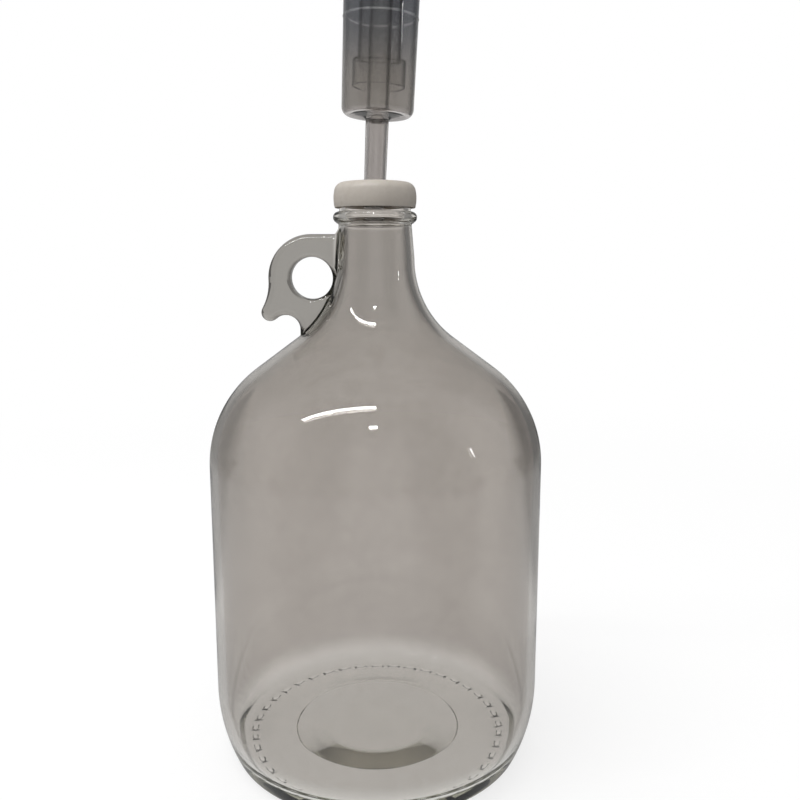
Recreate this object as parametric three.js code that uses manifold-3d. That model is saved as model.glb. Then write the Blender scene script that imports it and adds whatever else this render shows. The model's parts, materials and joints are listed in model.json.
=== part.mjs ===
// Glass carboy of about one US gallon: a blown jug with a ring handle, a white screw cap with a
// soft liner, and a three-piece airlock standing in a rubber grommet in the cap.
// Millimetres, +Z up. The origin is on the floor under the middle of the jug, the handle is on -X.
import * as THREE from "three";
import { mergeVertices } from "three/addons/utils/BufferGeometryUtils.js";
import Module from "manifold-3d";

const wasm = await Module();
wasm.setup();

const radians = THREE.MathUtils.degToRad;
const QUARTER_TURN = Math.PI / 2;
const FULL_TURN = 2 * Math.PI;

// Jug body, shoulder and neck
const JUG_HEIGHT = 286.8;
const BODY_DIAMETER = 166;
const GLASS_WALL = 3.6;
const SHOULDER_RADIUS = 58;
const SHOULDER_SLOPE = radians(53.5);
const NECK_SWEEP_RADIUS = 48;
const NECK_FOOT_DIAMETER = 38.4;
const NECK_TOP_DIAMETER = 35.6;
const NECK_LENGTH = 17;
const MOUTH_DIAMETER = 29;

// Transfer bead, lip and thread that the cap screws on to
const BEAD_DIAMETER = 40.8;
const BEAD_HEIGHT = 5.4;
const FINISH_HEIGHT = 11;
const FINISH_DIAMETER = 34.8;
const LIP_ROUND = 1;
const THREAD_PITCH = 4.233;
const GLASS_THREAD_HEIGHT = 1.25;
const GLASS_THREAD_TURNS = 1.1;
const GLASS_THREAD_DROP = 2.9;
const THREAD_RUN_OUT = 0.08;

// Heel and base
const HEEL_SWEEP_RADIUS = 80;
const HEEL_SWEEP = radians(25);
const HEEL_CORNER_RADIUS = 6.5;
const BEARING_WIDTH = 8;
const PUSH_UP = 2.6;
const PAD_DIAMETER = 85.4;
const PAD_DIP = 2.2;
const PAD_BAND = 14;
const FLOOR_THICKNESS = 6.2;
const FLOOR_CROWN = 3.2;
const HEEL_WALL = 4.2;
const INNER_HEEL_RADIUS = 8;

// Ring handle with its finger hole, spur and notch
const FINGER_HOLE_DIAMETER = 20.5;
const FINGER_HOLE_DROP = 26.4;
const HOLE_TO_NECK = 1.55;
const HANDLE_BAND = 10.9;
const HANDLE_THICKNESS = 12;
const HANDLE_EDGE = 3.5;
const NOTCH_RADIUS = 7;
const NOTCH_ANGLE = radians(242.4);
const SPUR_RADIUS = 4.3;
const SPUR_ANGLE = radians(132.5);
const FLARE_RADIUS = 26;

// Screw cap, liner and grommet
const CAP_WALL = 1.1;
const CAP_TOP_THICKNESS = 1.5;
const CAP_EDGE_RADIUS = 4.2;
const CAP_TO_BEAD = 1.8;
const CAP_THREAD_HEIGHT = 0.95;
const CAP_THREAD_TURNS = 1;
const CAP_THREAD_LIFT = 1.3;
const LINER_THICKNESS = 1;
const LINER_HOLE_MARGIN = 2;
const GROMMET_WALL = 1.4;
const GROMMET_LIP = 1.4;
const GROMMET_TOP_THICKNESS = 0.6;
const GROMMET_FOOT_THICKNESS = 2.2;

// Airlock: stem, bowl and riser in one moulding, with a bubbler inside and a vented lid
const AIRLOCK_LEAN = radians(2.4);
const STEM_DIAMETER = 11;
const STEM_TIP_DIAMETER = 10.4;
const STEM_BORE = 8;
const STEM_RISE = 30.2;
const STEM_REACH = 12.4;
const STEM_FILLET = 2.2;
const BOWL_FLOOR_DIAMETER = 34.4;
const BOWL_RIM_DIAMETER = 36;
const BOWL_HEIGHT = 72;
const BOWL_WALL = 1.4;
const BOWL_CORNER = 4;
const RISER_DIAMETER = 10.8;
const RISER_HEIGHT = 57;
const FILL_LINE_HEIGHT = 44.5;
const FILL_LINE_WIDTH = 0.8;
const FILL_LINE_PROUD = 0.3;
const BUBBLER_DIAMETER = 20.6;
const BUBBLER_DEPTH = 43.8;
const BUBBLER_WALL = 1.2;
const BUBBLER_EDGE = 2;
const SKIRT_DIAMETER = 25.4;
const SKIRT_HEIGHT = 12.2;
const LID_WALL = 1.2;
const LID_THICKNESS = 1.3;
const LID_SKIRT_DEPTH = 6;
const LID_CROWN_DIAMETER = 25;
const LID_CROWN_RISE = 1.6;
const VENT_DIAMETER = 2.2;
const VENT_CIRCLE_DIAMETER = 16;
const VENT_COUNT = 6;

// Clearances between pieces
const SEAT_GAP = 0.2;
const THREAD_CLEARANCE = 0.35;
const GROMMET_CLEARANCE = 0.25;
const STEM_CLEARANCE = 0.3;
const LID_CLEARANCE = 0.3;
const CUT_MARGIN = 5;

// Fineness of the turned pieces, of round outlines and of the threads
const JUG_FACETS = 40;
const CAP_FACETS = 36;
const AIRLOCK_FACETS = 32;
const VENT_FACETS = 10;
const ARC_TOLERANCE = 0.12;
const EDGE_STEPS = 2;
const THREAD_STEPS = 26;
const THREAD_SIDES = 8;

// Finishes
const CLEAR_GLASS = { color: 0xb4b0a8, roughness: 0.05 };
const WHITE_PLASTIC = { color: 0xc9c3ba, roughness: 0.45 };
const LINER_FOAM = { color: 0xe8e6e0, roughness: 0.8 };
const GROMMET_RUBBER = { color: 0xb9b4ab, roughness: 0.7 };
const CLEAR_PLASTIC = { color: 0x8e8c88, roughness: 0.12 };

// Heights and radii that follow from the sizes above
const bodyRadius = BODY_DIAMETER / 2;
const heelReach = HEEL_SWEEP_RADIUS - HEEL_CORNER_RADIUS;
const heelCentre = new THREE.Vector2(
  bodyRadius - HEEL_SWEEP_RADIUS,
  HEEL_CORNER_RADIUS + heelReach * Math.sin(HEEL_SWEEP),
);
const lipHeight = JUG_HEIGHT;
const beadTop = lipHeight - FINISH_HEIGHT;
const beadBottom = beadTop - BEAD_HEIGHT;
const neckFoot = beadBottom - NECK_LENGTH;
const finishRadius = FINISH_DIAMETER / 2;
const linerBottom = lipHeight + SEAT_GAP;
const linerTop = linerBottom + LINER_THICKNESS;
const capCeiling = linerTop + SEAT_GAP;
const capTop = capCeiling + CAP_TOP_THICKNESS;
const capBottom = beadTop + CAP_TO_BEAD;
const capInnerRadius = finishRadius + GLASS_THREAD_HEIGHT + THREAD_CLEARANCE;
const capInnerFillet = CAP_EDGE_RADIUS - CAP_TOP_THICKNESS;
const stemTaper = (STEM_DIAMETER - STEM_TIP_DIAMETER) / 2 / (STEM_RISE + STEM_REACH);
const grommetBoreRadius = STEM_TIP_DIAMETER / 2 + stemTaper * STEM_REACH + STEM_CLEARANCE;
const grommetWaistRadius = grommetBoreRadius + GROMMET_WALL;
const capHoleRadius = grommetWaistRadius + GROMMET_CLEARANCE;
const grommetFlangeRadius = capHoleRadius + GROMMET_LIP;
const glassThreadStart = lipHeight - GLASS_THREAD_DROP - GLASS_THREAD_TURNS * THREAD_PITCH;

function point(radius, height) {
  return new THREE.Vector2(radius, height);
}

// Points along a round stretch of an outline, from one angle to another, within the tolerance
function arc(centre, radius, from, to) {
  const step = 2 * Math.acos(1 - ARC_TOLERANCE / radius);
  const count = Math.ceil(Math.abs(to - from) / step);
  const points = [];
  for (let index = 0; index <= count; index += 1) {
    const angle = from + ((to - from) * index) / count;
    points.push(point(centre.x + radius * Math.cos(angle), centre.y + radius * Math.sin(angle)));
  }
  return points;
}

// A profile of radius and height turned about the Z axis, outer side upwards
function turned(profile, facets) {
  return new THREE.LatheGeometry(profile, facets).rotateX(QUARTER_TURN);
}

function closed(profile) {
  return [...profile, profile[0]];
}

function solidOf(geometry) {
  const bare = geometry.clone();
  bare.deleteAttribute("normal");
  bare.deleteAttribute("uv");
  const merged = mergeVertices(bare);
  const corners = Array.from(merged.index.array);
  const kept = [];
  for (let first = 0; first < corners.length; first += 3) {
    const triangle = corners.slice(first, first + 3);
    if (new Set(triangle).size === 3) {
      kept.push(...triangle);
    }
  }
  const vertProperties = new Float32Array(merged.attributes.position.array);
  const triVerts = new Uint32Array(kept);
  return new wasm.Manifold(new wasm.Mesh({ numProp: 3, vertProperties, triVerts }));
}

function geometryOf(solid) {
  const mesh = solid.getMesh();
  const geometry = new THREE.BufferGeometry();
  geometry.setAttribute("position", new THREE.BufferAttribute(mesh.vertProperties, 3));
  geometry.setIndex(new THREE.BufferAttribute(mesh.triVerts, 1));
  geometry.computeVertexNormals();
  return geometry;
}

function piece(name, geometry, finish) {
  const mesh = new THREE.Mesh(geometry, new THREE.MeshStandardMaterial({ ...finish, metalness: 0 }));
  mesh.name = name;
  return mesh;
}

// The centre line of a screw thread, which sinks into its wall at both ends
class ThreadPath extends THREE.Curve {
  constructor({ radius, sink, start, startAngle, turns }) {
    super();
    Object.assign(this, { radius, sink, start, startAngle, turns });
  }

  getPoint(along, target = new THREE.Vector3()) {
    const angle = this.startAngle + along * this.turns * FULL_TURN;
    const rise = THREE.MathUtils.smoothstep(Math.min(along, 1 - along), 0, THREAD_RUN_OUT);
    const radius = this.radius + this.sink * (1 - rise);
    const height = this.start + along * this.turns * THREAD_PITCH;
    return target.set(radius * Math.cos(angle), radius * Math.sin(angle), height);
  }
}

function threadRidge(path, height) {
  const section = new THREE.Shape();
  section.absarc(0, 0, height, 0, FULL_TURN);
  return new THREE.ExtrudeGeometry(section, {
    steps: THREAD_STEPS,
    curveSegments: THREAD_SIDES / 2,
    extrudePath: path,
  });
}

// Shoulder and neck curves of the jug, set in by a depth of glass
function shoulderAndNeck(depth) {
  const turn = SHOULDER_SLOPE;
  const neckCentre = point(NECK_FOOT_DIAMETER / 2 + NECK_SWEEP_RADIUS, neckFoot);
  const bend = 1 - Math.cos(turn);
  const shoulderEnd = bodyRadius - SHOULDER_RADIUS * bend;
  const neckStart = NECK_FOOT_DIAMETER / 2 + NECK_SWEEP_RADIUS * bend;
  const coneHeight = (shoulderEnd - neckStart) / Math.tan(turn);
  const curvesHeight = (NECK_SWEEP_RADIUS + SHOULDER_RADIUS) * Math.sin(turn);
  const shoulderCentre = point(bodyRadius - SHOULDER_RADIUS, neckFoot - coneHeight - curvesHeight);
  return [
    ...arc(shoulderCentre, SHOULDER_RADIUS - depth, 0, turn),
    ...arc(neckCentre, NECK_SWEEP_RADIUS + depth, Math.PI + turn, Math.PI),
  ];
}

// Outside of the jug, from the middle of its base to its lip
function jugOutside() {
  const cornerCentre = point(heelCentre.x + heelReach * Math.cos(HEEL_SWEEP), HEEL_CORNER_RADIUS);
  const bearingInner = cornerCentre.x - BEARING_WIDTH;
  const padRadius = PAD_DIAMETER / 2;
  const beadMiddle = (beadTop + beadBottom) / 2;
  const beadRadius = BEAD_HEIGHT / 2;
  const beadCentre = point(BEAD_DIAMETER / 2 - beadRadius, beadMiddle);
  const lipCentre = point(finishRadius - LIP_ROUND, lipHeight - LIP_ROUND);
  return [
    point(0, PUSH_UP - PAD_DIP),
    point(padRadius - PAD_BAND, PUSH_UP - PAD_DIP),
    point(padRadius, PUSH_UP),
    point(bearingInner, 0),
    ...arc(cornerCentre, HEEL_CORNER_RADIUS, -QUARTER_TURN, -HEEL_SWEEP),
    ...arc(heelCentre, HEEL_SWEEP_RADIUS, -HEEL_SWEEP, 0).slice(1),
    ...shoulderAndNeck(0),
    point(NECK_TOP_DIAMETER / 2, beadBottom),
    ...arc(beadCentre, beadRadius, -QUARTER_TURN, QUARTER_TURN),
    point(finishRadius, beadTop),
    ...arc(lipCentre, LIP_ROUND, 0, QUARTER_TURN),
    point(0, lipHeight),
  ];
}

// Inside of the jug, from the middle of its floor to above its mouth
function jugInside() {
  const floor = PUSH_UP + FLOOR_THICKNESS;
  const innerSweep = HEEL_SWEEP_RADIUS - HEEL_WALL;
  const reach = innerSweep - INNER_HEEL_RADIUS;
  const turn = Math.asin((heelCentre.y - INNER_HEEL_RADIUS - floor) / reach);
  const cornerCentre = point(heelCentre.x + reach * Math.cos(turn), floor + INNER_HEEL_RADIUS);
  const mouthRadius = MOUTH_DIAMETER / 2;
  const lipCentre = point(mouthRadius + LIP_ROUND, lipHeight - LIP_ROUND);
  return [
    point(0, floor + FLOOR_CROWN),
    ...arc(cornerCentre, INNER_HEEL_RADIUS, -QUARTER_TURN, -turn),
    ...arc(heelCentre, innerSweep, -turn, 0).slice(1),
    ...shoulderAndNeck(GLASS_WALL),
    point(mouthRadius, beadBottom),
    ...arc(lipCentre, LIP_ROUND, Math.PI, QUARTER_TURN),
    point(lipCentre.x, lipHeight + CUT_MARGIN),
    point(0, lipHeight + CUT_MARGIN),
  ];
}

// Flat plate of the ring handle: an arch round the finger hole, a flare out to the spur, the round
// spur, the notch under it and a root that runs down into the shoulder
function handlePlate() {
  const holeRadius = FINGER_HOLE_DIAMETER / 2;
  const archRadius = holeRadius + HANDLE_BAND;
  const holeReach = NECK_FOOT_DIAMETER / 2 + HOLE_TO_NECK + holeRadius;
  const hole = point(-holeReach, beadBottom - FINGER_HOLE_DROP);
  const along = (angle, length) => point(Math.cos(angle), Math.sin(angle)).multiplyScalar(length);
  const notch = along(NOTCH_ANGLE, archRadius + NOTCH_RADIUS).add(hole);
  const spur = along(SPUR_ANGLE, NOTCH_RADIUS + SPUR_RADIUS).add(notch);
  const reach = hole.distanceTo(spur);
  const archReach = archRadius + FLARE_RADIUS;
  const spurReach = SPUR_RADIUS + FLARE_RADIUS;
  const spread = Math.acos((archReach ** 2 + reach ** 2 - spurReach ** 2) / (2 * archReach * reach));
  const archEnd = spur.clone().sub(hole).angle() - spread;
  const flare = along(archEnd, archReach).add(hole);
  const flareEnd = spur.clone().sub(flare).angle() - FULL_TURN;
  const rootBottom = neckFoot - NECK_SWEEP_RADIUS;
  const outline = [
    ...arc(hole, archRadius, QUARTER_TURN, archEnd),
    ...arc(flare, FLARE_RADIUS, archEnd - Math.PI, flareEnd).slice(1),
    ...arc(spur, SPUR_RADIUS, flareEnd + Math.PI, SPUR_ANGLE + Math.PI).slice(1),
    ...arc(notch, NOTCH_RADIUS, SPUR_ANGLE, 0).slice(1),
    point(notch.x + NOTCH_RADIUS, rootBottom),
    point(0, rootBottom),
    point(0, hole.y + archRadius),
  ];
  const shape = new THREE.Shape(outline);
  shape.holes.push(new THREE.Path(arc(hole, holeRadius, 0, -FULL_TURN).slice(1)));
  const depth = HANDLE_THICKNESS - 2 * HANDLE_EDGE;
  const plate = new THREE.ExtrudeGeometry(shape, {
    depth,
    bevelThickness: HANDLE_EDGE,
    bevelSize: HANDLE_EDGE,
    bevelOffset: -HANDLE_EDGE,
    bevelSegments: EDGE_STEPS,
  });
  return plate.translate(0, 0, -depth / 2).rotateX(QUARTER_TURN);
}

// Blown and moulded glass, one piece with its handle, bead and thread
function glassJug() {
  const thread = new ThreadPath({
    radius: finishRadius,
    sink: -2 * GLASS_THREAD_HEIGHT,
    start: glassThreadStart,
    startAngle: 0,
    turns: GLASS_THREAD_TURNS,
  });
  const jug = solidOf(turned(jugOutside(), JUG_FACETS))
    .add(solidOf(handlePlate()))
    .add(solidOf(threadRidge(thread, GLASS_THREAD_HEIGHT)))
    .subtract(solidOf(turned(jugInside(), JUG_FACETS)));
  return piece("glass_jug", geometryOf(jug), CLEAR_GLASS);
}

// Smooth white plastic cap with a round top edge, a hole in its middle and a thread inside
function screwCap() {
  const outerRadius = capInnerRadius + CAP_WALL;
  const edgeCentre = point(outerRadius - CAP_EDGE_RADIUS, capTop - CAP_EDGE_RADIUS);
  const filletCentre = point(capInnerRadius - capInnerFillet, capCeiling - capInnerFillet);
  const shell = closed([
    point(capInnerRadius, capBottom),
    point(outerRadius, capBottom),
    ...arc(edgeCentre, CAP_EDGE_RADIUS, 0, QUARTER_TURN),
    point(capHoleRadius, capTop),
    point(capHoleRadius, capCeiling),
    ...arc(filletCentre, capInnerFillet, QUARTER_TURN, 0),
  ]);
  const start = capBottom + CAP_THREAD_LIFT;
  const belowGlassThread = start + THREAD_PITCH / 2 - glassThreadStart;
  const thread = new ThreadPath({
    radius: capInnerRadius,
    sink: 0,
    start,
    startAngle: (FULL_TURN * belowGlassThread) / THREAD_PITCH,
    turns: CAP_THREAD_TURNS,
  });
  const cap = solidOf(turned(shell, CAP_FACETS)).add(solidOf(threadRidge(thread, CAP_THREAD_HEIGHT)));
  return piece("screw_cap", geometryOf(cap), WHITE_PLASTIC);
}

// Soft ring that the cap presses on the lip
function capLiner() {
  const outerRadius = capInnerRadius - capInnerFillet;
  const innerRadius = grommetFlangeRadius + LINER_HOLE_MARGIN;
  const ring = closed([
    point(innerRadius, linerBottom),
    point(outerRadius, linerBottom),
    point(outerRadius, linerTop),
    point(innerRadius, linerTop),
  ]);
  return piece("cap_liner", turned(ring, CAP_FACETS), LINER_FOAM);
}

// Rubber bush with a groove that holds the edge of the cap's hole
function stemGrommet() {
  const waistTop = capTop + SEAT_GAP;
  const waistBottom = capCeiling - SEAT_GAP;
  const bush = closed([
    point(grommetBoreRadius, waistBottom - GROMMET_FOOT_THICKNESS),
    point(grommetWaistRadius, waistBottom - GROMMET_FOOT_THICKNESS),
    point(grommetFlangeRadius, waistBottom),
    point(grommetWaistRadius, waistBottom),
    point(grommetWaistRadius, waistTop),
    point(grommetFlangeRadius, waistTop),
    point(grommetFlangeRadius - GROMMET_TOP_THICKNESS, waistTop + GROMMET_TOP_THICKNESS),
    point(grommetBoreRadius, waistTop + GROMMET_TOP_THICKNESS),
  ]);
  return piece("stem_grommet", turned(bush, CAP_FACETS), GROMMET_RUBBER);
}

// Heights in the airlock are measured along its own axis from the middle of the cap's top plate
const bowlBottom = CAP_TOP_THICKNESS / 2 + STEM_RISE;
const bowlRim = bowlBottom + BOWL_HEIGHT;
const riserTop = bowlBottom + RISER_HEIGHT;
const bowlSlope = (BOWL_RIM_DIAMETER - BOWL_FLOOR_DIAMETER) / 2 / BOWL_HEIGHT;

function bowlRadius(height) {
  return BOWL_FLOOR_DIAMETER / 2 + bowlSlope * (height - bowlBottom);
}

// Clear plastic moulding: stem, bowl with its raised fill line, and the riser inside it
function airlockBody() {
  const boreRadius = STEM_BORE / 2;
  const stemRadius = STEM_DIAMETER / 2;
  const stemTip = CAP_TOP_THICKNESS / 2 - STEM_REACH;
  const corner = point(BOWL_FLOOR_DIAMETER / 2 - BOWL_CORNER, bowlBottom + BOWL_CORNER);
  const line = bowlBottom + FILL_LINE_HEIGHT;
  const innerFloor = bowlBottom + BOWL_WALL;
  const innerCorner = BOWL_CORNER - BOWL_WALL;
  const moulding = closed([
    point(boreRadius, stemTip),
    point(STEM_TIP_DIAMETER / 2, stemTip),
    point(stemRadius, bowlBottom - STEM_FILLET),
    point(stemRadius + STEM_FILLET, bowlBottom),
    ...arc(corner, BOWL_CORNER, -QUARTER_TURN, 0),
    point(bowlRadius(line), line - FILL_LINE_WIDTH / 2),
    point(bowlRadius(line) + FILL_LINE_PROUD, line),
    point(bowlRadius(line), line + FILL_LINE_WIDTH / 2),
    point(bowlRadius(bowlRim), bowlRim),
    point(bowlRadius(bowlRim) - BOWL_WALL, bowlRim),
    ...arc(corner, innerCorner, 0, -QUARTER_TURN),
    point(RISER_DIAMETER / 2, innerFloor),
    point(RISER_DIAMETER / 2, riserTop),
    point(boreRadius, riserTop),
  ]);
  return piece("airlock_body", turned(moulding, AIRLOCK_FACETS), CLEAR_PLASTIC);
}

// Upturned cup with a wider skirt that rests on top of the riser and floats on the water
function airlockBubbler() {
  const ceiling = riserTop + SEAT_GAP;
  const rim = ceiling - BUBBLER_DEPTH;
  const step = rim + SKIRT_HEIGHT;
  const top = ceiling + BUBBLER_WALL;
  const radius = BUBBLER_DIAMETER / 2;
  const skirtRadius = SKIRT_DIAMETER / 2;
  const edge = point(radius - BUBBLER_EDGE, top - BUBBLER_EDGE);
  const cup = [
    point(0, ceiling),
    point(radius - BUBBLER_EDGE, ceiling),
    point(radius - BUBBLER_WALL, ceiling - BUBBLER_EDGE),
    point(radius - BUBBLER_WALL, step - BUBBLER_WALL),
    point(skirtRadius - BUBBLER_WALL, step - BUBBLER_WALL),
    point(skirtRadius - BUBBLER_WALL, rim),
    point(skirtRadius, rim),
    point(skirtRadius, step - BUBBLER_WALL / 2),
    point(skirtRadius - BUBBLER_WALL / 2, step),
    point(radius, step),
    ...arc(edge, BUBBLER_EDGE, 0, QUARTER_TURN),
    point(0, top),
  ];
  return piece("airlock_bubbler", turned(cup, AIRLOCK_FACETS), CLEAR_PLASTIC);
}

// Push-on lid over the bowl's rim, with a raised crown and a ring of vent holes
function airlockLid() {
  const seat = bowlRim + SEAT_GAP;
  const foot = bowlRim - LID_SKIRT_DEPTH;
  const innerRadius = bowlRadius(bowlRim) + LID_CLEARANCE;
  const outerRadius = innerRadius + LID_WALL;
  const crownRadius = LID_CROWN_DIAMETER / 2;
  const shoulder = seat + LID_THICKNESS;
  const cup = [
    point(0, seat + LID_CROWN_RISE),
    point(crownRadius - LID_CROWN_RISE - LID_THICKNESS, seat + LID_CROWN_RISE),
    point(crownRadius - LID_THICKNESS, seat),
    point(innerRadius, seat),
    point(innerRadius, foot),
    point(outerRadius, foot),
    point(outerRadius, shoulder - LID_WALL / 2),
    point(outerRadius - LID_WALL / 2, shoulder),
    point(crownRadius, shoulder),
    point(crownRadius - LID_CROWN_RISE, shoulder + LID_CROWN_RISE),
    point(0, shoulder + LID_CROWN_RISE),
  ];
  let lid = solidOf(turned(cup, AIRLOCK_FACETS));
  for (let vent = 0; vent < VENT_COUNT; vent += 1) {
    const angle = (FULL_TURN * vent) / VENT_COUNT;
    const hole = new THREE.CylinderGeometry(
      VENT_DIAMETER / 2,
      VENT_DIAMETER / 2,
      LID_THICKNESS + 2 * CUT_MARGIN,
      VENT_FACETS,
    );
    const radius = VENT_CIRCLE_DIAMETER / 2;
    hole.rotateX(QUARTER_TURN);
    hole.translate(radius * Math.cos(angle), radius * Math.sin(angle), seat + LID_CROWN_RISE);
    lid = lid.subtract(solidOf(hole));
  }
  return piece("airlock_lid", geometryOf(lid), CLEAR_PLASTIC);
}

// The airlock leans a little to +X in its grommet
const airlock = new THREE.Group();
airlock.position.z = capTop - CAP_TOP_THICKNESS / 2;
airlock.rotation.y = AIRLOCK_LEAN;
airlock.add(airlockBody(), airlockBubbler(), airlockLid());

const carboy = new THREE.Group();
carboy.name = "carboy";
carboy.add(glassJug(), screwCap(), capLiner(), stemGrommet(), airlock);

export default carboy;
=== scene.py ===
import json
import math

import bmesh
import bpy
from mathutils import Matrix, Vector


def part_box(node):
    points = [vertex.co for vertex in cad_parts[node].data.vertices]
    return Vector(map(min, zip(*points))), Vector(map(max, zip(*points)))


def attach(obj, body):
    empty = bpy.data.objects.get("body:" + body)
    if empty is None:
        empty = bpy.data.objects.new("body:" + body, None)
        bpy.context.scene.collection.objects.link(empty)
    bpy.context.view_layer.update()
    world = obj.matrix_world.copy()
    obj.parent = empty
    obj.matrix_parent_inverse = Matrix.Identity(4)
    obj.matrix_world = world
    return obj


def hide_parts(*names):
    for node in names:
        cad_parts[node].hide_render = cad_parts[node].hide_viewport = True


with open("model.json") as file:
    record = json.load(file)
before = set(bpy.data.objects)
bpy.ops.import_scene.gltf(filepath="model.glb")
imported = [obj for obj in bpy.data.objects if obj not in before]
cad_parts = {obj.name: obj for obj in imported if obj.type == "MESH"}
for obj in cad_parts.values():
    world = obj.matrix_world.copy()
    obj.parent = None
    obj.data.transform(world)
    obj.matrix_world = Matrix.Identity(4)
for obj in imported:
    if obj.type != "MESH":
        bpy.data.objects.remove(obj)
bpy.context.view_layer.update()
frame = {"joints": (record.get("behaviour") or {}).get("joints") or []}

# Body of the jug
# The jug is soda glass blown in a two-part mould, so its body, shoulder, long neck, transfer bead and screw
# finish are one turned form. It stands on a ring round a base that is pushed up, and a pad in the middle of
# the base dips down again behind a fine line.
MM = 0.001
WELD = 0.001 * MM
QUARTER = 90


class Section:
    """Half the section of a turned piece, drawn along in the XZ plane and then spun about the Z axis."""

    def __init__(self, radius, height):
        self.mesh = bmesh.new()
        self.first = self.mesh.verts.new((radius, 0, height))
        self.last = self.first

    def line(self, radius, height):
        """Goes straight on to a point."""
        corner = self.mesh.verts.new((radius, 0, height))
        self.mesh.edges.new((self.last, corner))
        self.last = corner

    def arc(self, radius, height, degrees, steps):
        """Goes on round a centre, anticlockwise for a positive angle."""
        made = bmesh.ops.spin(
            self.mesh,
            geom=[self.last],
            cent=(radius, 0, height),
            axis=(0, -1, 0),
            angle=math.radians(degrees),
            steps=steps,
        )
        self.last = made["geom_last"][0]

    def close(self):
        """Goes straight back to the first point."""
        self.mesh.edges.new((self.last, self.first))

    def turned(self, steps):
        """Spins the section once round into a closed skin with its faces pointing out."""
        bmesh.ops.spin(
            self.mesh,
            geom=self.mesh.verts[:] + self.mesh.edges[:],
            cent=(0, 0, 0),
            axis=(0, 0, 1),
            angle=math.tau,
            steps=steps,
            use_merge=True,
        )
        bmesh.ops.remove_doubles(self.mesh, verts=self.mesh.verts[:], dist=WELD)
        bmesh.ops.recalc_face_normals(self.mesh, faces=self.mesh.faces[:])
        return self.mesh


def piece_of(name, made):
    """Turns a bmesh into an object of the scene."""
    mesh = bpy.data.meshes.new(name)
    made.to_mesh(mesh)
    made.free()
    piece = bpy.data.objects.new(name, mesh)
    bpy.context.scene.collection.objects.link(piece)
    return piece


jug_top_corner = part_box("glass_jug")[1]
body_radius = jug_top_corner.x
lip_height = jug_top_corner.z
mark_height = 0.7 * MM
bearing_width = 8 * MM
push_up = 2.4 * MM
pad_dip = 2.75 * MM
pad_band = 15 * MM
pad_round = 5 * MM
pad_radius = 42.7 * MM
pad_line = 0.3 * MM
heel_corner = 6.5 * MM
heel_sweep = 80 * MM
heel_angle = 25
shoulder_radius = 58 * MM
shoulder_slope = 53.5
neck_sweep = 48 * MM
neck_foot_radius = 19.2 * MM
neck_top_radius = 17.8 * MM
neck_length = 17 * MM
bead_radius = 20.4 * MM
bead_height = 5.4 * MM
bead_edge = 2.6 * MM
bead_fillet = 1.2 * MM
finish_height = 11 * MM
finish_radius = 17.4 * MM
lip_round = 1.3 * MM
glass_turns = 256
pad_steps = 8
heel_steps = 12
shoulder_steps = 30
neck_steps = 26
fillet_steps = 5
bead_steps = 8
lip_steps = 6

bead_top = lip_height - finish_height
bead_bottom = bead_top - bead_height
neck_foot = bead_bottom - neck_length
slope = math.radians(shoulder_slope)
shoulder_end = body_radius - shoulder_radius * (1 - math.cos(slope))
neck_start = neck_foot_radius + neck_sweep * (1 - math.cos(slope))
cone_height = (shoulder_end - neck_start) / math.tan(slope)
shoulder_foot = neck_foot - cone_height - (neck_sweep + shoulder_radius) * math.sin(slope)
neck_centre = neck_foot_radius + neck_sweep


def shoulder_and_neck(section, depth):
    """Runs up over the shoulder and into the neck, set in from the outside by a depth of glass."""
    section.line(body_radius - depth, shoulder_foot)
    section.arc(body_radius - shoulder_radius, shoulder_foot, shoulder_slope, shoulder_steps)
    bend = neck_sweep + depth
    section.line(neck_centre - bend * math.cos(slope), neck_foot - bend * math.sin(slope))
    section.arc(neck_centre, neck_foot, -shoulder_slope, neck_steps)


heel = math.radians(heel_angle)
heel_centre = body_radius - heel_sweep
corner_reach = heel_centre + (heel_sweep - heel_corner) * math.cos(heel)
corner_height = mark_height + heel_corner
heel_foot = corner_height + (heel_sweep - heel_corner) * math.sin(heel)
bearing_inner = corner_reach - bearing_width
pad_edge = mark_height + push_up
pad_middle = pad_edge - pad_dip
pad_flat = pad_radius - pad_band - pad_round
band_slope = math.atan2(pad_dip, pad_band - pad_line + pad_round / 2)
band_round = pad_round / math.sin(band_slope)
outside = Section(0, pad_middle)
outside.line(pad_flat, pad_middle)
outside.arc(pad_flat, pad_middle + band_round, math.degrees(band_slope), pad_steps)
outside.line(pad_radius - pad_line, pad_edge)
outside.line(pad_radius, pad_edge + pad_line)
outside.line(pad_radius + pad_line, pad_edge)
outside.line(bearing_inner, mark_height)
outside.line(corner_reach, mark_height)
outside.arc(corner_reach, corner_height, QUARTER - heel_angle, heel_steps)
outside.arc(heel_centre, heel_foot, heel_angle, heel_steps)
shoulder_and_neck(outside, 0)
outside.line(neck_top_radius, bead_bottom - bead_fillet)
outside.arc(neck_top_radius + bead_fillet, bead_bottom - bead_fillet, -QUARTER, fillet_steps)
outside.line(bead_radius - bead_edge, bead_bottom)
outside.arc(bead_radius - bead_edge, bead_bottom + bead_edge, QUARTER, bead_steps)
outside.line(bead_radius, bead_top - bead_edge)
outside.arc(bead_radius - bead_edge, bead_top - bead_edge, QUARTER, bead_steps)
outside.line(finish_radius, bead_top)
outside.line(finish_radius, lip_height - lip_round)
outside.arc(finish_radius - lip_round, lip_height - lip_round, QUARTER, lip_steps)
outside.line(0, lip_height)
jug = piece_of("jug", outside.turned(glass_turns))

# Marks under the jug
# The mould leaves a ring of small raised ovals under the base, so that the hot jug stands on few points.
# They lie flat along the ring, and their level faces are what the jug rests on.
mark_count = 40
mark_radius = 65.6 * MM
mark_half_width = 2 * MM
mark_half_length = 3.9 * MM
mark_taper = 0.65
mark_sides = 20


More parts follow.
